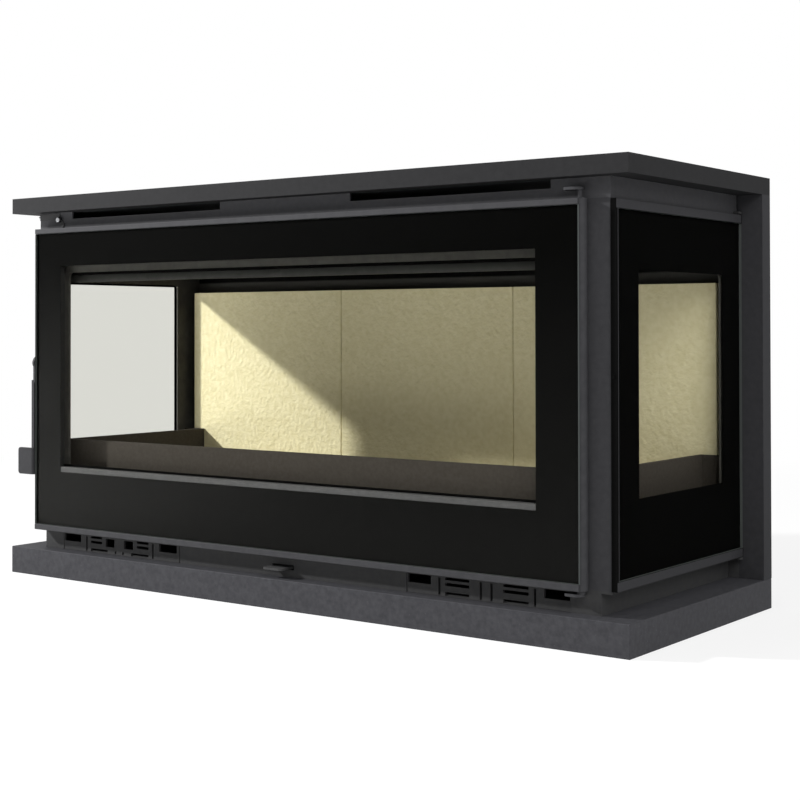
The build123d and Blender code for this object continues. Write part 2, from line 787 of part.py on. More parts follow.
def side_leaves():
    """Glazed leaves on the sides, hinged at the rear and locked by a screw at the front."""
    pane_in = leaf_outer - pane_set_back - pane
    back = pane_in - enamel
    outline = (leaf_front, leaf_rear, leaf_bottom, leaf_top)
    glass = (leaf_front + leaf_edge, leaf_rear - fit_gap, leaf_bottom + leaf_strip, leaf_top - leaf_strip)
    window = (glass[0] + leaf_border_front, leaf_rear - leaf_border_rear,
              glass[2] + leaf_border_bottom, glass[3] - leaf_border_top)
    opening = (window[0] - leaf_hidden_front, window[1] + leaf_hidden_rear,
               window[2] - fit_gap, window[3] + fit_gap)
    frame = side_ring(outline, opening, leaf_inner, back)
    frame += block(leaf_inner, leaf_outer, leaf_front, glass[0] - fit_gap, leaf_bottom, leaf_top)
    for z0, z1 in ((leaf_bottom, glass[2] - fit_gap), (glass[3] + fit_gap, leaf_top)):
        frame += block(leaf_inner, leaf_outer, leaf_front, leaf_rear, z0, z1)
    corner = block(leaf_inner - overrun, leaf_axis_x, leaf_axis_y, leaf_rear + overrun,
                   leaf_bottom, leaf_top, "z")
    frame -= corner - upright_bore(leaf_thickness / 2, leaf_axis_x, leaf_axis_y, leaf_bottom, leaf_top)

    inner = grown(opening, leaf_seal_inset)
    seal_back = leaf_inner + leaf_seal_share * (back - leaf_inner)
    seal = side_ring(grown(inner, leaf_seal_width), inner, leaf_inner, seal_back)
    frame -= seal
    hole = leaf_pin_radius + pin_fit
    deep = leaf_pin_depth + slide_gap
    frame -= upright_rod(hole, leaf_axis_x, leaf_axis_y, leaf_bottom - overrun, leaf_bottom + deep)
    frame -= upright_rod(hole, leaf_axis_x, leaf_axis_y, leaf_top - deep, leaf_top + overrun)
    lock_z = leaf_bottom + lock_rise
    lock_tip = leaf_front - lock_head
    frame += rod(lock_radius, (leaf_axis_x, lock_tip, lock_z), (leaf_axis_x, leaf_front, lock_z))
    both_sides("leaf_frame", frame)
    both_sides("leaf_seal", seal)
    both_sides("leaf_glass", block(pane_in, pane_in + pane, *glass))
    both_sides("leaf_enamel_border", side_ring(glass, window, back, pane_in, pane / 4))

    rear = leaf_rear - slide_gap
    ears = []
    for seat, z0, tip in ((post_half, deck_bottom, leaf_bottom + leaf_pin_depth),
                          (header_half, header_bottom, leaf_top - leaf_pin_depth)):
        ear = block(seat, leaf_outer, rear - ear_length, rear, z0, z0 + sheet)
        ear += upright_rod(leaf_pin_radius, leaf_axis_x, leaf_axis_y, z0 + sheet / 2, tip)
        ears += [ear, mirrored(ear)]
    keep("leaf_hinge_ears", *ears)


surround()
levelling_feet()
base()
air_control()
corner_posts_and_header()
firebox_frames()
casing()
ducts()
linings()
grate_and_ash_pan()
retainers_and_air_wash()
door_hinges()
front_door()
latch()
top_catch()
side_leaves()
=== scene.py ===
import math
import bmesh
import bpy
from mathutils import Matrix, Vector


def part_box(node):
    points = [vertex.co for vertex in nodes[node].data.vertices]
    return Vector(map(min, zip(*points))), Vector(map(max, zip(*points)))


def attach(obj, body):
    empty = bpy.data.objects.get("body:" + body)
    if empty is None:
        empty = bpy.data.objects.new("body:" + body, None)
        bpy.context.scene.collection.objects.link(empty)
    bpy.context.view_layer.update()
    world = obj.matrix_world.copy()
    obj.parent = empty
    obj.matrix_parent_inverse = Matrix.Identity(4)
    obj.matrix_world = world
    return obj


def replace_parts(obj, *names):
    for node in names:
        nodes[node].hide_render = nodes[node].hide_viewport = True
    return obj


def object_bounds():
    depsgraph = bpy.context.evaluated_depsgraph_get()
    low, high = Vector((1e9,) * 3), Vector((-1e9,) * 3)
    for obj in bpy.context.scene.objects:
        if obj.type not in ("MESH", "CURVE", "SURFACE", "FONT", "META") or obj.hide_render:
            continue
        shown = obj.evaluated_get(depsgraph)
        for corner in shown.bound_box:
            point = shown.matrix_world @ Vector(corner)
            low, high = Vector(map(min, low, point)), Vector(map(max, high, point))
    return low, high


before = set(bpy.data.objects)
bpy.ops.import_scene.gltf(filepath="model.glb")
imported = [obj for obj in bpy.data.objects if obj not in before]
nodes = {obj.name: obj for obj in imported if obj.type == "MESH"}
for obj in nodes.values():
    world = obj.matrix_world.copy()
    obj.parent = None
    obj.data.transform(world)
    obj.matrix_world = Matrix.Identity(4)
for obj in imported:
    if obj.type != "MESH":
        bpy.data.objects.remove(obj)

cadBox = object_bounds()
mm = 0.001
frontEdge = cadBox[0][1]  # where the front faces of the slab and the trim stand
scene = bpy.context.scene
print("frame loaded:", len(nodes), "nodes")


# sRGB hex to the linear colour that a shader takes
def hexColour(code):
    levels = [int(code[i:i + 2], 16) / 255 for i in (1, 3, 5)]
    return [v / 12.92 if v <= 0.04045 else ((v + 0.055) / 1.055) ** 2.4 for v in levels] + [1.0]


# inputs hold sockets, which are linked, or plain values
def addNode(tree, kind, inputs=None, **settings):
    node = tree.nodes.new(kind)
    for name, value in settings.items():
        setattr(node, name, value)
    for name, value in (inputs or {}).items():
        if isinstance(value, bpy.types.NodeSocket):
            tree.links.new(value, node.inputs[name])
        else:
            node.inputs[name].default_value = value
    return node


# a texture scale in cycles per metre for features of that many mm
def perMetre(sizeMm):
    return 1 / (sizeMm * mm)


def newMaterial(name):
    material = bpy.data.materials.new(name)
    material.use_nodes = True
    material.node_tree.nodes.clear()
    return material


# A surface of one colour with soft patches of a second one, and a bump. Every size is in real mm. share is what
# the second colour covers, and contrast is how soft its edges are. Painted light bands are (height, fade, colour):
# above that height the surface takes that colour, as painted light or shade. A fleck is (colour, size, threshold).
def surface(name, colour, second, patch, rough, share=0.5, bumpSize=1.6, bumpDepth=0.02, metallic=0.0,
            roughSpread=0.06, detail=3.0, contrast=0.2, level=0.5, paintedLightBands=(), fleck=None, fleckEdge=0.05):
    material = newMaterial(name)
    tree = material.node_tree
    place = addNode(tree, "ShaderNodeTexCoord").outputs["Object"]
    spots = addNode(tree, "ShaderNodeTexNoise", {"Vector": place, "Scale": perMetre(patch), "Detail": detail})
    mask = addNode(tree, "ShaderNodeMapRange", {
        "Value": spots.outputs["Fac"], "From Min": 1 - share - contrast, "From Max": 1 - share + contrast})
    paint = addNode(tree, "ShaderNodeMix", {
        "Factor": mask.outputs[0], "A": hexColour(colour), "B": hexColour(second)}, data_type="RGBA")
    if paintedLightBands:
        height = addNode(tree, "ShaderNodeSeparateXYZ", {0: place}).outputs["Z"]
    for bandHeight, fade, bandColour in paintedLightBands:
        above = addNode(tree, "ShaderNodeMapRange", {
            "Value": height, "From Min": (bandHeight - fade) * mm, "From Max": (bandHeight + fade) * mm})
        paint = addNode(tree, "ShaderNodeMix", {
            "Factor": above.outputs[0], "A": paint.outputs["Result"], "B": hexColour(bandColour)}, data_type="RGBA")
    if fleck:
        fleckColour, fleckSize, threshold = fleck
        grit = addNode(tree, "ShaderNodeTexNoise", {"Vector": place, "Scale": perMetre(fleckSize), "Detail": 1.0})
        bright = addNode(tree, "ShaderNodeMapRange", {
            "Value": grit.outputs["Fac"], "From Min": threshold, "From Max": threshold + fleckEdge})
        paint = addNode(tree, "ShaderNodeMix", {
            "Factor": bright.outputs[0], "A": paint.outputs["Result"], "B": hexColour(fleckColour)},
            data_type="RGBA")
    roughness = addNode(tree, "ShaderNodeMapRange", {
        "Value": spots.outputs["Fac"], "To Min": rough - roughSpread, "To Max": rough + roughSpread})
    look = {"Base Color": paint.outputs["Result"], "Roughness": roughness.outputs[0], "Metallic": metallic,
            "Specular IOR Level": level}
    if bumpDepth:
        grain = addNode(tree, "ShaderNodeTexNoise", {"Vector": place, "Scale": perMetre(bumpSize), "Detail": 2.0})
        relief = addNode(tree, "ShaderNodeBump", {
            "Height": grain.outputs["Fac"], "Strength": 1.0, "Distance": bumpDepth * mm})
        look["Normal"] = relief.outputs["Normal"]
    shader = addNode(tree, "ShaderNodeBsdfPrincipled", look)
    addNode(tree, "ShaderNodeOutputMaterial", {"Surface": shader.outputs[0]})
    return material


# heat-proof paint sprayed over folded steel: an even tone with a broad dull sheen. Its orange peel is finer
# than a millimetre, so it is drawn at one and a half.
sprayed = {"patch": 9, "rough": 0.66, "level": 0.06}
handled = {"patch": 9, "rough": 0.55, "level": 0.08}  # rubbed smoother by hands
smoked = {"patch": 14, "rough": 0.75, "level": 0.08, "bumpSize": 2.0, "bumpDepth": 0.04}  # and dulled by smoke
finishes = {
    "graphite": surface("sprayedGraphitePaint", "#1F1F20", "#242425", **sprayed),
    # paler on the corner posts, which stand out from the trim
    "post": surface("greyPostPaint", "#323234", "#38383A", **sprayed),
    # and paler still on the header, as painted light against the shade that the trim casts on it
    "header": surface("headerPaintWithPaintedLight", "#3B3B3D", "#414143", **sprayed),
    # paler on the rear uprights: painted light for their fronts, which the body shades from the key light
    "upright": surface("uprightPaintWithPaintedLight", "#2B2B2D", "#303032", **sprayed),
    "cover": surface("greyCoverPaint", "#2B2B2D", "#303032", **sprayed),
    # the base's paint, a neutral grey beside the bluish one above it
    "blackSteel": surface("mattBlackStovePaint", "#333334", "#393939", patch=9, rough=0.66, level=0.08),
    "strip": surface("greyEdgePaint", "#303032", "#363638", **handled),
    "sill": surface("greySillPaint", "#515153", "#59595B", **handled),
    "lever": surface("greyLeverPaint", "#242426", "#2A2A2C", patch=6, rough=0.55, level=0.08),
    # black on the edges of the side leaves, darkened further as painted shade for the gap beside the corner posts,
    # and so dull that light hardly shows on it
    "blackEdge": surface("deepBlackPaintWithPaintedShade", "#060606", "#080808", patch=9, rough=0.8, level=0.02),
    "firebox": surface("smokedFireboxPaint", "#41403F", "#4B4A47", **smoked),
    # soot on the plate behind the boards, with a band of painted light just above them and, over that, painted
    # shade under the roof
    "back": surface("sootedBackWallWithPaintedLightAndShade", "#262524", "#2E2D2B", patch=14, rough=0.8, level=0.06, bumpSize=2.0,
                    bumpDepth=0.04, paintedLightBands=((466, 2, "#454443"), (490.5, 1.5, "#080808"))),
    # painted shade darkens the top of the deflector
    "deflector": surface("deflectorPlateWithPaintedShade", "#3C3C3B", "#444443", paintedLightBands=((490, 6, "#202020"),), **smoked),
    # hot-dipped zinc on rolled sheet: bright grey in soft clouds
    "casing": surface("galvanisedSheet", "#8D9193", "#9CA0A2", patch=14, rough=0.42, bumpSize=6.0, bumpDepth=0.01,
                      metallic=1.0),
    # plated fasteners: a cleaner and brighter grey than the sheet
    "hardware": surface("zincPlatedSteel", "#8F9092", "#A3A4A6", patch=5, rough=0.32, bumpSize=2.0,
                        bumpDepth=0.01, metallic=1.0),
    # rolled steel pipe, blued by the mill: darker than zinc, with some shine left
    "duct": surface("rolledDuctSteel", "#2F2F30", "#363637", patch=10, rough=0.5, bumpSize=2.0),
    # sand-cast iron: brownish dark grey with a fine rough skin
    "cast": surface("castIron", "#3D3935", "#45413D", patch=5, rough=0.75, share=0.45, bumpSize=1.8,
                    bumpDepth=0.12, level=0.06),
    # black strips without any shine, put in as painted shade where narrow gaps are dark
    "bead": surface("blackPaintedShadeStrip", "#080808", "#0E0E0E", patch=2, rough=0.95, bumpSize=1.2, bumpDepth=0.2,
                    level=0.02),
    # woven glass fibre: its yarns are under a millimetre, so they are drawn at one and a half
    "seal": surface("glassFibreSeal", "#2E2C2A", "#3B3936", patch=2, rough=0.9, bumpSize=1.5, bumpDepth=0.2,
                    level=0.1),
    # the same yarn in braided strands, a little lighter where it is worn
    "rope": surface("braidedSealRope", "#2A2928", "#454340", patch=1.6, rough=0.95, bumpSize=1.1, bumpDepth=0.25,
                    level=0.08),
    # pressed mineral flakes: cream, chalky, with soft lumps over the boards' face
    "lining": surface("pressedVermiculite", "#E9E1BD", "#DED5AE", patch=9, rough=0.95, share=0.45, bumpSize=7.0,
                      bumpDepth=1.9, level=0.05),
    # the same board, browned by heat
    "baffle": surface("brownedVermiculite", "#4A4239", "#3B342C", patch=9, rough=0.95, share=0.45, bumpSize=3.0,
                      bumpDepth=0.3, level=0.1),
    # fired clay: sandy, with a coarse dry face
    "floor": surface("firebrick", "#A39A85", "#8D846F", patch=7, rough=0.9, share=0.45, bumpSize=3.0,
                     bumpDepth=0.3, level=0.1),
    # honed basalt: faint clouds and a few paler crystals
    "slab": surface("honedBasalt", "#303033", "#3B3B3E", patch=7, rough=0.62, bumpSize=2.2, detail=6.0,
                    level=0.08, fleck=("#414145", 3.0, 0.7)),
    # black enamel fired on the door's pane: a painted reflection on it fades out towards the top
    "enamel": surface("firedBlackEnamel", "#131313", "#151515", patch=20, rough=0.3, bumpDepth=0,
                      roughSpread=0.01, level=0.027, paintedLightBands=((320, 190, "#020202"),)),
    # and on the side leaves, where it is duller
    "enamelSide": surface("firedBlackEnamelSide", "#090909", "#0A0A0A", patch=20, rough=0.5, bumpDepth=0,
                          level=0.0),
}

# reflectsFrom is the weakest reflection that is drawn: one of a few hundredths would only show as grain
stoveGlass = {"tint": "#F5F5F3", "edge": "#4C504F", "haze": 0.2, "reflectsFrom": 0.04, "edgeTurn": 0.5}


# Drawn ceramic glass: clear, with a soft reflection at grazing angles. Its cut edges are ground matt grey, and
# they are told from its faces by the way that they look.
def pane(name, index, face):
    material = newMaterial(name)
    tree = material.node_tree
    fresnel = addNode(tree, "ShaderNodeFresnel", {"IOR": index})
    skin = addNode(tree, "ShaderNodeMapRange", {
        "Value": fresnel.outputs[0], "From Min": stoveGlass["reflectsFrom"]})
    clear = addNode(tree, "ShaderNodeBsdfTransparent", {"Color": hexColour(stoveGlass["tint"])})
    shine = addNode(tree, "ShaderNodeBsdfGlossy", {"Roughness": stoveGlass["haze"]})
    both = addNode(tree, "ShaderNodeMixShader", {0: skin.outputs[0], 1: clear.outputs[0], 2: shine.outputs[0]})
    outward = addNode(tree, "ShaderNodeTexCoord").outputs["Normal"]
    parts = addNode(tree, "ShaderNodeSeparateXYZ", {0: outward})
    size = addNode(tree, "ShaderNodeMath", {0: parts.outputs[face]}, operation="ABSOLUTE")
    onEdge = addNode(tree, "ShaderNodeMath", {0: size.outputs[0], 1: stoveGlass["edgeTurn"]},
                     operation="LESS_THAN")
    ground = addNode(tree, "ShaderNodeBsdfDiffuse", {"Color": hexColour(stoveGlass["edge"])})
    whole = addNode(tree, "ShaderNodeMixShader", {
        0: onEdge.outputs[0], 1: both.outputs[0], 2: ground.outputs[0]})
    addNode(tree, "ShaderNodeOutputMaterial", {"Surface": whole.outputs[0]})
    return material


finishes["pane"] = pane("coatedCeramicGlass", 1.045, "Y")
finishes["paneSide"] = pane("clearCeramicGlass", 1.035, "X")
print("materials:", len(finishes))

painted = {
    "slab": "hearth_slab", "graphite": "top_trim", "upright": "rear_upright_left rear_upright_right",
    "strip": "hinge_stile door_strips", "lever": "latch_lever", "header": "header",
    "post": "corner_post_left corner_post_right door_hinge_brackets door_hinge_pins",
    "hardware": "levelling_feet latch_strike catch_screw latch_pivot_pin",
    "casing": "air_valve_box casing_wrap casing_lid ash_pan",
    "blackSteel": "base_front air_grilles base_deck base_tray leaf_hinge_ears air_slider door_frame catch_spring",
    "blackEdge": "leaf_frame_right leaf_frame_left",
    "firebox": "front_frame side_frame_left side_frame_right firebox_roof baffle_rests",
    "back": "firebox_back", "deflector": "air_wash_deflector",
    "duct": "flue_collar warm_air_spigots air_inlet_spigot",
    "lining": "back_board_left back_board_centre back_board_right",
    "floor": "firebox_floor", "baffle": "baffle_board",
    "cast": "fire_grate fuel_retainer_front fuel_retainer_left fuel_retainer_right",
    "pane": "door_glass", "paneSide": "leaf_glass_right leaf_glass_left",
    "enamel": "door_enamel_border", "enamelSide": "leaf_enamel_border_right leaf_enamel_border_left",
    "seal": "door_glass_tape door_rope_seal leaf_seal_right leaf_seal_left",
}
for finish, names in painted.items():
    for name in names.split():
        nodes[name].data.materials.clear()
        nodes[name].data.materials.append(finishes[finish])
print("CAD nodes painted")


# A point in metres from millimetres that are counted as in the CAD: Y from the slab's front edge
def at(x, y, z):
    return Vector((x * mm, frontEdge + y * mm, z * mm))


# near and far edge on one side of the middle, the lower value first
def mirrored(side, near, far):
    return sorted((side * near, side * far))


def addBlock(mesh, low, high):
    for vert in bmesh.ops.create_cube(mesh, size=1)["verts"]:
        vert.co = at(*[low[i] + (vert.co[i] + 0.5) * (high[i] - low[i]) for i in range(3)])


# a skin over rings of points: closed rings join the last to the first, open ones get caps
def addSkin(mesh, rings, closed=False):
    rows = [[mesh.verts.new(point) for point in ring] for ring in rings]
    for first, second in zip(rows, rows[1:] + rows[:1] if closed else rows[1:]):
        for i in range(len(first)):
            mesh.faces.new((first[i - 1], first[i], second[i], second[i - 1]))
    if not closed:
        mesh.faces.new(rows[0])
        mesh.faces.new(rows[-1])


# a turned shape that stands on foot along axis, from (radius, height) pairs in mm
def addTurned(mesh, foot, axis, profile, sides, closed=False):
    turn = Vector(axis).to_track_quat("Z", "Y").to_matrix()
    angles = [2 * math.pi * i / sides for i in range(sides)]
    rings = [[foot + turn @ Vector((radius * math.cos(a), radius * math.sin(a), height)) * mm for a in angles]
             for radius, height in profile]
    addSkin(mesh, rings, closed)


def addPiece(name, mesh, finish, body, bevel=0.0, sharp=40):
    bmesh.ops.recalc_face_normals(mesh, faces=mesh.faces)
    data = bpy.data.meshes.new(name)
    mesh.to_mesh(data)
    mesh.free()
    data.shade_smooth()
    data.set_sharp_from_angle(angle=math.radians(sharp))
    data.materials.append(finishes[finish])
    piece = bpy.data.objects.new(name, data)
    scene.collection.objects.link(piece)
    if bevel:
        edge = piece.modifiers.new("edge", "BEVEL")
        edge.width = bevel * mm
        edge.segments = 2
        edge.limit_method = "ANGLE"
    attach(piece, body)
    return piece


# corners of a rectangle with rounded corners, as (across, up) pairs; edges are left, right, bottom and top
def roundedRing(edges, radius, steps=6):
    left, right, bottom, top = edges
    corners = ((right - radius, top - radius, 0), (left + radius, top - radius, 90),
               (left + radius, bottom + radius, 180), (right - radius, bottom + radius, 270))
    return [(x + radius * math.cos(math.radians(start + 90 * i / steps)),
             z + radius * math.sin(math.radians(start + 90 * i / steps)))
            for x, z, start in corners for i in range(steps + 1)]


# the door's enamel screen, printed on the back of its pane
doorScreen = {"outer": (-528.0, 505.2, 84.3, 563.7), "window": (-469.6, 440.0, 172.6, 509.7), "corner": 1.0,
              "front": 9.0, "back": 9.3}
screen = bmesh.new()
outerRing = roundedRing(doorScreen["outer"], doorScreen["corner"])
innerRing = roundedRing(doorScreen["window"], doorScreen["corner"])
screenRings = [[at(x, y, z) for x, z in ring] for ring, y in (
    (outerRing, doorScreen["front"]), (outerRing, doorScreen["back"]),
    (innerRing, doorScreen["back"]), (innerRing, doorScreen["front"]))]
addSkin(screen, screenRings, closed=True)
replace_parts(addPiece("door_enamel_screen", screen, "enamel", "front_door"), "door_enamel_border")

# folded sill along the bottom of the door's window, with a black strip above it: painted shade for the gap
sill = {"left": -476.0, "right": 446.0, "low": 168.0, "top": 180.9, "front": 9.7, "rear": 24.0, "sheet": 1.2,
        "bevel": 0.4, "shadeStripRise": 3.4, "shadeStripDepth": 4.0, "shadeStripBevel": 1.4}
foldBack = sill["front"] + sill["sheet"]
fold = bmesh.new()
addBlock(fold, (sill["left"], sill["front"], sill["low"]), (sill["right"], foldBack, sill["top"]))
addBlock(fold, (sill["left"], foldBack, sill["top"] - sill["sheet"]), (sill["right"], sill["rear"], sill["top"]))
addPiece("door_sill", fold, "sill", "front_door", bevel=sill["bevel"])
bead = bmesh.new()
addBlock(bead, (sill["left"], sill["rear"] - sill["shadeStripDepth"], sill["top"]),
         (sill["right"], sill["rear"], sill["top"] + sill["shadeStripRise"]))
addPiece("door_sill_shade_strip", bead, "bead", "front_door", bevel=sill["shadeStripBevel"])

# a black strip under the top edge of the frame behind the door: painted shade for the narrow gap there
topShadeStrip = {"half": 470.0, "front": 31.0, "rear": 35.0, "low": 495.0, "top": 500.0, "bevel": 1.2}
upper = bmesh.new()
addBlock(upper, (-topShadeStrip["half"], topShadeStrip["front"], topShadeStrip["low"]),
         (topShadeStrip["half"], topShadeStrip["rear"], topShadeStrip["top"]))
addPiece("frame_top_shade_strip", upper, "bead", "insert", bevel=topShadeStrip["bevel"])
print("door screen and sill made")

# braided rope in the groove on the back of the door: three strands that wind round one another
doorRope = {"edges": (-506.0, 476.4, 148.6, 538.7), "corner": 14.0, "cornerSteps": 8, "depth": 23.6,
            "strands": 3, "pitch": 17.0, "wide": 2.3, "thick": 1.0, "strand": 2.0, "sides": 7, "steps": 9,
            "sharp": 80}


# points along a ring, about as far apart as spacing says
def ropePath(ring, spacing):
    points = []
    for start, end in zip(ring, ring[1:] + ring[:1]):
        run = math.dist(start, end)
        count = max(1, round(run / spacing))
        points += [(start[0] + (end[0] - start[0]) * i / count, start[1] + (end[1] - start[1]) * i / count)
                   for i in range(count)]
    return points


path = ropePath(roundedRing(doorRope["edges"], doorRope["corner"], doorRope["cornerSteps"]),
                doorRope["pitch"] / doorRope["steps"])
lengths = [0.0]
for start, end in zip(path, path[1:] + path[:1]):
    lengths.append(lengths[-1] + math.dist(start, end))
turns = round(lengths[-1] / doorRope["pitch"])
strandAngles = [2 * math.pi * i / doorRope["sides"] for i in range(doorRope["sides"])]
rope = bmesh.new()
for strand in range(doorRope["strands"]):
    strandRings = []
    for i, (x, z) in enumerate(path):
        before, after = path[i - 1], path[(i + 1) % len(path)]
        along = Vector((after[0] - before[0], 0, after[1] - before[1])).normalized()
        across = Vector((along.z, 0, -along.x))
        angle = 2 * math.pi * (turns * lengths[i] / lengths[-1] + strand / doorRope["strands"])
        middle = Vector((x, doorRope["depth"], z)) + across * doorRope["wide"] * math.cos(angle)
        middle.y += doorRope["thick"] * math.sin(angle)
        strandRings.append([
            at(*(middle + (across * math.cos(a) + Vector((0, math.sin(a), 0))) * doorRope["strand"]))
            for a in strandAngles])
    addSkin(rope, strandRings, closed=True)
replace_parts(addPiece("door_seal_rope", rope, "rope", "front_door", sharp=doorRope["sharp"]),
            "door_rope_seal")
print("seal rope braided:", round(lengths[-1]), "mm long,", turns, "turns")

# Glass clips on the back of the door's frame, each a small plate under a pan head screw. A place is across, up
# and whether the clip is turned upright. The head is (radius, height) pairs.
clips = {"face": 24.5, "plate": 1.0, "long": 18.0, "wide": 11.0, "bevel": 0.4, "headSides": 20,
         "head": ((3.1, 0), (3.1, 0.55), (2.48, 0.99), (1.1, 1.1), (0.77, 0.44)),
         "places": ((-300, 165, 0), (0, 165, 0), (300, 165, 0), (-300, 522.3, 0), (0, 522.3, 0), (300, 522.3, 0),
                    (-489.6, 260, 90), (-489.6, 430, 90), (460, 260, 90), (460, 430, 90))}
plates, heads = bmesh.new(), bmesh.new()
for x, z, turned in clips["places"]:
    long, wide = (clips["wide"], clips["long"]) if turned else (clips["long"], clips["wide"])
    plateBack = clips["face"] + clips["plate"]
    addBlock(plates, (x - long / 2, clips["face"], z - wide / 2), (x + long / 2, plateBack, z + wide / 2))
    addTurned(heads, at(x, plateBack, z), (0, 1, 0), clips["head"], clips["headSides"])
addPiece("glass_clip_plates", plates, "hardware", "front_door", bevel=clips["bevel"])
addPiece("glass_clip_screws", heads, "hardware", "front_door")

# Painted steel covers along the top and bottom of the side leaves, and the leaf's folded front lip, which shows
# as a fine line beside the glass. The pocket is how far the glass lies below the leaf's face.
leafCover = {"face": 549.3, "sheet": 0.5, "front": 25.2, "rear": 400.5, "bottom": (76.2, 88.1),
             "top": (558.9, 570.8), "lip": (29.4, 30.6), "lipSheet": 0.25, "pocket": 0.45, "bevel": 0.2}
for side, body in ((1, "side_leaf_right"), (-1, "side_leaf_left")):
    covers = bmesh.new()
    left, right = mirrored(side, leafCover["face"], leafCover["face"] + leafCover["sheet"])
    for low, high in (leafCover["bottom"], leafCover["top"]):
        addBlock(covers, (left, leafCover["front"], low), (right, leafCover["rear"], high))
    left, right = mirrored(side, leafCover["face"] - leafCover["pocket"], leafCover["face"] + leafCover["lipSheet"])
    addBlock(covers, (left, leafCover["lip"][0], leafCover["bottom"][1]),
             (right, leafCover["lip"][1], leafCover["top"][0]))
    addPiece("leaf_covers_" + body.rsplit("_", 1)[1], covers, "cover", body, bevel=leafCover["bevel"])

# gussets that tie the base to the rear uprights
gusset = {"inner": 525.0, "outer": 541.4, "front": 405.6, "rear": 407.6, "low": 43.6, "top": 71.9, "bevel": 0.3}
ties = bmesh.new()
for side in (-1, 1):
    left, right = mirrored(side, gusset["inner"], gusset["outer"])
    addBlock(ties, (left, gusset["front"], gusset["low"]), (right, gusset["rear"], gusset["top"]))
addPiece("base_gussets", ties, "blackSteel", "insert", bevel=gusset["bevel"])
print("clips and leaf covers made")

# Self-tapping screws with hexagon washer heads, round the casing's top and down its back. The washer and the
# hexagon are (radius, height) pairs.
casingScrews = {"washer": ((5.6, 0), (5.6, 0.6), (4.9, 1.0)), "washerSides": 24,
                "hexagon": ((4.0, 0), (4.0, 2.7), (3.3, 3.4)), "sharp": 25,
                "lidTop": 602.5, "lidX": (-531, -360, -130, 130, 360, 531), "lidRows": (37.0, 490.0),
                "lidSide": 531.0, "lidY": (130, 250, 370), "back": 500.0, "backSide": 533.0,
                "backZ": (90, 205, 320, 435, 545), "backRow": 590.0, "backX": (-400, -200, 0, 200, 400)}


def addScrew(mesh, foot, axis):
    addTurned(mesh, foot, axis, casingScrews["washer"], casingScrews["washerSides"])
    washerTop = casingScrews["washer"][-1][1]
    addTurned(mesh, foot + Vector(axis) * washerTop * mm, axis, casingScrews["hexagon"], 6)


screws = bmesh.new()
for x in casingScrews["lidX"]:
    for y in casingScrews["lidRows"]:
        addScrew(screws, at(x, y, casingScrews["lidTop"]), (0, 0, 1))
for y in casingScrews["lidY"]:
    for side in (-1, 1):
        addScrew(screws, at(side * casingScrews["lidSide"], y, casingScrews["lidTop"]), (0, 0, 1))
for z in casingScrews["backZ"]:
    for side in (-1, 1):
        addScrew(screws, at(side * casingScrews["backSide"], casingScrews["back"], z), (0, 1, 0))
for x in casingScrews["backX"]:
    addScrew(screws, at(x, casingScrews["back"], casingScrews["backRow"]), (0, 1, 0))
addPiece("casing_screws", screws, "hardware", "insert", sharp=casingScrews["sharp"])

# Rolled beads that stiffen the ducts and keep their pipes on, and blind rivets in their flanges. The collar is
# across, back, radius and height, and the rivet is (radius, height) pairs.
ducts = {"bead": 1.6, "beadSunk": 0.2, "beadSides": 10, "pipeSides": 96, "collar": (0, 275, 103.0, 634.0),
         "spigots": ((-330, 275), (330, 275)), "spigotRadius": 62.5, "spigotBead": 628.0, "spigotFlange": 604.5,
         "rivetRing": 73.0, "rivets": 8, "rivet": ((2.6, 0), (2.21, 0.66), (1.04, 1.1)), "rivetSides": 16,
         "inletX": 0, "inletRadius": 40.0, "inletBead": 530.0, "inletFlange": 501.5, "inletRivetRing": 46.0}


# a half-round ring that stands out from a pipe
def addBead(mesh, foot, axis, radius):
    angles = [2 * math.pi * i / ducts["beadSides"] for i in range(ducts["beadSides"])]
    profile = [(radius - ducts["beadSunk"] + ducts["bead"] * math.cos(a), ducts["bead"] * math.sin(a))
               for a in angles]
    addTurned(mesh, foot, axis, profile, ducts["pipeSides"], closed=True)


def addRivets(mesh, foot, axis, ringRadius):
    turn = Vector(axis).to_track_quat("Z", "Y").to_matrix()
    for i in range(ducts["rivets"]):
        angle = 2 * math.pi * (i + 0.5) / ducts["rivets"]
        spot = turn @ Vector((math.cos(angle), math.sin(angle), 0)) * ringRadius * mm
        addTurned(mesh, foot + spot, axis, ducts["rivet"], ducts["rivetSides"])


beads, rivets = bmesh.new(), bmesh.new()
x, y, radius, height = ducts["collar"]
addBead(beads, at(x, y, height), (0, 0, 1), radius)
for x, y in ducts["spigots"]:
    addBead(beads, at(x, y, ducts["spigotBead"]), (0, 0, 1), ducts["spigotRadius"])
    addRivets(rivets, at(x, y, ducts["spigotFlange"]), (0, 0, 1), ducts["rivetRing"])
inletHeight = sum(corner[2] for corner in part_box("air_inlet_spigot")) / 2 / mm
addBead(beads, at(ducts["inletX"], ducts["inletBead"], inletHeight), (0, 1, 0), ducts["inletRadius"])
addRivets(rivets, at(ducts["inletX"], ducts["inletFlange"], inletHeight), (0, 1, 0), ducts["inletRivetRing"])
addPiece("duct_beads", beads, "duct", "insert")
addPiece("duct_rivets", rivets, "hardware", "insert")

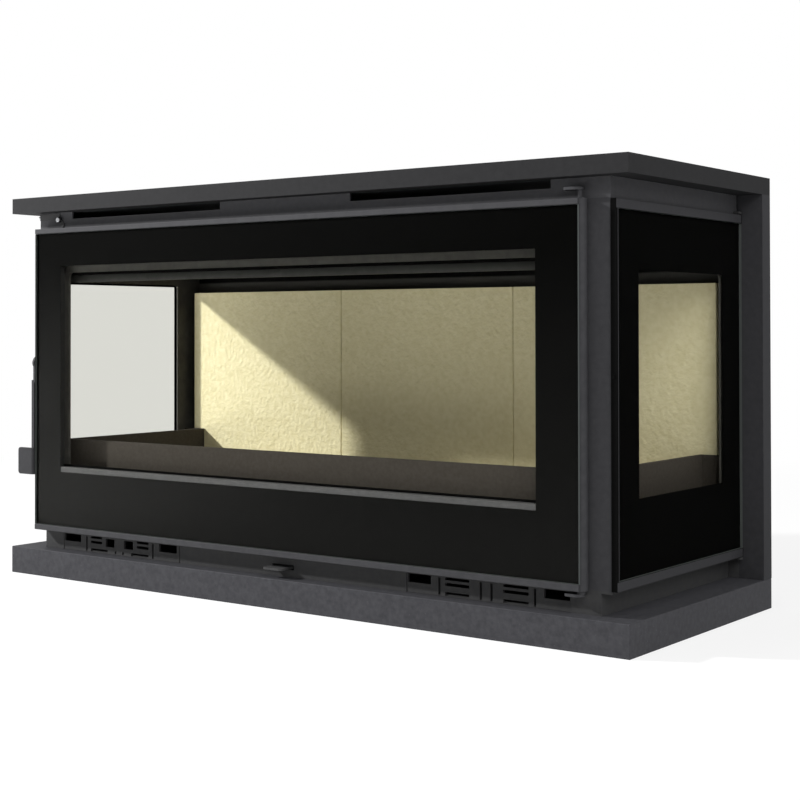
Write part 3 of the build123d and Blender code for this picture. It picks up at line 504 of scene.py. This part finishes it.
# Rolled threads on the screws of the two levelling feet. The ridge's section is (how far out, up) pairs, and
# the thread fades in and out over its first and last turn.
footThread = {"inset": 20.0, "y": 466.5, "low": 8.0, "high": 34.0, "radius": 5.0, "depth": 0.7, "root": 0.3,
              "rootRise": 0.9, "crestRise": 0.2, "pitch": 2.5, "steps": 20, "sharp": 30}
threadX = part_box("levelling_feet")[1][0] / mm - footThread["inset"]
inside = footThread["radius"] - footThread["root"]
threads = bmesh.new()
for side in (-1, 1):
    ridge = []
    count = int((footThread["high"] - footThread["low"]) / footThread["pitch"] * footThread["steps"])
    for i in range(count + 1):
        angle = 2 * math.pi * i / footThread["steps"]
        height = footThread["low"] + footThread["pitch"] * i / footThread["steps"]
        fade = min(1.0, i / footThread["steps"], (count - i) / footThread["steps"])
        outside = footThread["radius"] + footThread["depth"] * fade
        section = ((inside, -footThread["rootRise"]), (outside, -footThread["crestRise"]),
                   (outside, footThread["crestRise"]), (inside, footThread["rootRise"]))
        ridge.append([at(side * threadX + r * math.cos(angle), footThread["y"] + r * math.sin(angle), height + rise)
                      for r, rise in section])
    addSkin(threads, ridge)
addPiece("foot_threads", threads, "hardware", "insert", sharp=footThread["sharp"])
print("casing screws, beads, rivets and threads made")

# power in watts, sizes and places in metres
keyPlace = (-3.3, -2.13, 2.21)
lamps = {
    # from the left and above: it draws the shadows
    "keyLight": {"kind": "AREA", "place": keyPlace, "target": (-0.4, 0.1, 0.42),
                 "light": {"energy": 255, "shape": "DISK", "size": 0.25}},
    # broad and soft, on the right side
    "sideFill": {"kind": "AREA", "place": (3.1, -1.9, 2.5), "target": (0.5, 0, 0.35),
                 "light": {"energy": 120, "shape": "DISK", "size": 2.8}},
    # low on the left, for the bottom of the door and the slab
    "lowWindow": {"kind": "AREA", "place": (-2.5, -1.97, 0.2), "target": (-0.48, -0.26, 0.3),
                  "light": {"energy": 7, "shape": "DISK", "size": 0.55}},
    # a narrow beam from the key light's place, through the left window on to the pale boards
    "windowBeam": {"kind": "SPOT", "place": keyPlace, "target": (-0.541, -0.05, 0.34),
                   "light": {"energy": 400, "spot_size": math.radians(6.5), "spot_blend": 0.7,
                             "shadow_soft_size": 0.11}},
    # light that comes up from the floor in front of the door
    "floorGlow": {"kind": "AREA", "place": (-1.2, -1.0, 0.01), "target": (-1.2, -1.0, 1.0),
                  "light": {"energy": 17, "shape": "DISK", "size": 0.9}},
}
for name, lamp in lamps.items():
    light = bpy.data.lights.new(name, lamp["kind"])
    for setting, value in lamp["light"].items():
        setattr(light, setting, value)
    holder = bpy.data.objects.new(name, light)
    holder.location = lamp["place"]
    aim = Vector(lamp["target"]) - Vector(lamp["place"])
    holder.rotation_euler = aim.to_track_quat("-Z", "Y").to_euler()
    holder.visible_camera = name != "floorGlow"
    scene.collection.objects.link(holder)


# 1 for rays that come from the camera, straight or by way of metal and glass
def raySeen(tree):
    rays = addNode(tree, "ShaderNodeLightPath")
    direct = addNode(tree, "ShaderNodeMath", {0: rays.outputs["Is Camera Ray"], 1: rays.outputs["Is Glossy Ray"]},
                     operation="ADD")
    either = addNode(tree, "ShaderNodeMath", {0: direct.outputs[0], 1: rays.outputs["Is Transmission Ray"]},
                     operation="ADD", use_clamp=True)
    return either.outputs[0]


# The floor shows white, and near the object some of its own shade: veil is how much of the white covers that,
# from the near radius to the far one. worldLight is what the white backdrop gives the object.
studio = {"floorHalf": 8, "floorColour": "#F2F2F2", "white": "#FFFFFF", "near": 0.7, "far": 2.6,
          "veil": (0.72, 1.0), "worldLight": 0.47}
floorSheet = bmesh.new()
bmesh.ops.create_grid(floorSheet, x_segments=1, y_segments=1, size=studio["floorHalf"])
floorMesh = bpy.data.meshes.new("studioFloor")
floorSheet.to_mesh(floorMesh)
floorSheet.free()
studioFloor = bpy.data.objects.new("studioFloor", floorMesh)
scene.collection.objects.link(studioFloor)
floorMaterial = newMaterial("paleStudioFloor")
floorTree = floorMaterial.node_tree
seenRay = raySeen(floorTree)
floorSpot = addNode(floorTree, "ShaderNodeTexCoord").outputs["Object"]
away = addNode(floorTree, "ShaderNodeVectorMath", {0: floorSpot}, operation="LENGTH")
veil = addNode(floorTree, "ShaderNodeMapRange", {
    "Value": away.outputs["Value"], "From Min": studio["near"], "From Max": studio["far"],
    "To Min": studio["veil"][0], "To Max": studio["veil"][1]})
shown = addNode(floorTree, "ShaderNodeMath", {0: seenRay, 1: veil.outputs[0]}, operation="MULTIPLY")
matt = addNode(floorTree, "ShaderNodeBsdfDiffuse", {"Color": hexColour(studio["floorColour"])})
white = addNode(floorTree, "ShaderNodeEmission", {"Color": hexColour(studio["white"]), "Strength": 1.0})
floorMix = addNode(floorTree, "ShaderNodeMixShader", {0: shown.outputs[0], 1: matt.outputs[0], 2: white.outputs[0]})
addNode(floorTree, "ShaderNodeOutputMaterial", {"Surface": floorMix.outputs[0]})
floorMesh.materials.append(floorMaterial)

world = bpy.data.worlds.new("studio")
scene.world = world
world.use_nodes = True
sky = world.node_tree
sky.nodes.clear()
strength = addNode(sky, "ShaderNodeMapRange", {
    "Value": raySeen(sky), "To Min": studio["worldLight"], "To Max": 1.0})
backdrop = addNode(sky, "ShaderNodeBackground", {
    "Color": hexColour(studio["white"]), "Strength": strength.outputs[0]})
addNode(sky, "ShaderNodeOutputWorld", {"Surface": backdrop.outputs[0]})

# the camera stands to the right of the door and looks back to the left, nearly level
photoShot = {"place": (1.4813, -1.9581, 0.4095), "heading": 36.55, "pitch": 90.75, "roll": -0.09, "lens": 69.28,
             "sensor": 36, "shiftUp": -0.1169}
photoView = bpy.data.cameras.new("photoView")
photoView.lens = photoShot["lens"]
photoView.sensor_width = photoShot["sensor"]
photoView.shift_y = photoShot["shiftUp"]
photoCamera = bpy.data.objects.new("photoCamera", photoView)
photoCamera.matrix_world = (Matrix.Translation(photoShot["place"])
                            @ Matrix.Rotation(math.radians(photoShot["heading"]), 4, "Z")
                            @ Matrix.Rotation(math.radians(photoShot["pitch"]), 4, "X")
                            @ Matrix.Rotation(math.radians(photoShot["roll"]), 4, "Z"))
scene.collection.objects.link(photoCamera)
scene.camera = photoCamera
scene.view_settings.view_transform = "Standard"
print("stage, light and camera set")
